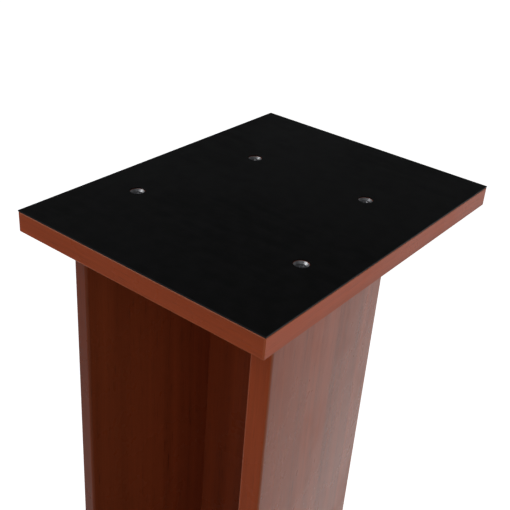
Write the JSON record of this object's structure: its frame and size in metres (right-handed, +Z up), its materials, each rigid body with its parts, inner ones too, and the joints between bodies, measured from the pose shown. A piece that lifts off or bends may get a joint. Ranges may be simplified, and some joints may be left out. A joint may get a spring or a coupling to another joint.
{
  "type": "speaker stand",
  "caption": "Free-standing loudspeaker stand: a splayed H-section board column with a flat top under a thin black sheet, on a base board with adjustable floor spikes.",
  "frame": {"origin": "on the floor, under the middle of the base board", "axes": "+Z up; -Y is the front, where the column's side boards stand furthest apart; +X to the right seen from the front"},
  "size_m": [0.24, 0.3, 0.61],
  "materials": {
    "cherry_foil": "cherry wood-grain foil on fibreboard, satin",
    "black_sheet": "fine matt",
    "zinc_screw": "bright zinc",
    "brass_insert": "plain turned brass",
    "black_steel": "black oxide steel"
  },
  "bodies": {
    "root": {"top_board": "cherry_foil", "top_sheet": "black_sheet", "left_side_panel": "cherry_foil", "right_side_panel": "cherry_foil", "web_panel": "cherry_foil", "base_board": "cherry_foil", "top_screws": "zinc_screw", "base_screws": "zinc_screw", "base_inserts": "brass_insert"},
    "spike_front_left": {"spike_front_left": "black_steel"},
    "lock_nut_front_left": {"lock_nut_front_left": "black_steel"},
    "spike_front_right": {"spike_front_right": "black_steel"},
    "lock_nut_front_right": {"lock_nut_front_right": "black_steel"},
    "spike_back_left": {"spike_back_left": "black_steel"},
    "lock_nut_back_left": {"lock_nut_back_left": "black_steel"},
    "spike_back_right": {"spike_back_right": "black_steel"},
    "lock_nut_back_right": {"lock_nut_back_right": "black_steel"}
  },
  "joints": [
    {"name": "spike_height_front_left", "type": "slide", "parent": "root", "child": "spike_front_left", "axis": [0, 0, -1], "range_m": [-0.003, 0.006]},
    {"name": "lock_nut_turn_front_left", "type": "hinge", "parent": "root", "child": "lock_nut_front_left", "pos_m": [-0.098, -0.128, 0.0172], "axis": [0, 0, 1], "range_deg": [-180, 0]},
    {"name": "spike_height_front_right", "type": "slide", "parent": "root", "child": "spike_front_right", "axis": [0, 0, -1], "range_m": [-0.003, 0.006]},
    {"name": "lock_nut_turn_front_right", "type": "hinge", "parent": "root", "child": "lock_nut_front_right", "pos_m": [0.098, -0.128, 0.0172], "axis": [0, 0, 1], "range_deg": [-180, 0]},
    {"name": "spike_height_back_left", "type": "slide", "parent": "root", "child": "spike_back_left", "axis": [0, 0, -1], "range_m": [-0.003, 0.006]},
    {"name": "lock_nut_turn_back_left", "type": "hinge", "parent": "root", "child": "lock_nut_back_left", "pos_m": [-0.098, 0.128, 0.0172], "axis": [0, 0, 1], "range_deg": [-180, 0]},
    {"name": "spike_height_back_right", "type": "slide", "parent": "root", "child": "spike_back_right", "axis": [0, 0, -1], "range_m": [-0.003, 0.006]},
    {"name": "lock_nut_turn_back_right", "type": "hinge", "parent": "root", "child": "lock_nut_back_right", "pos_m": [0.098, 0.128, 0.0172], "axis": [0, 0, 1], "range_deg": [-180, 0]}
  ]
}
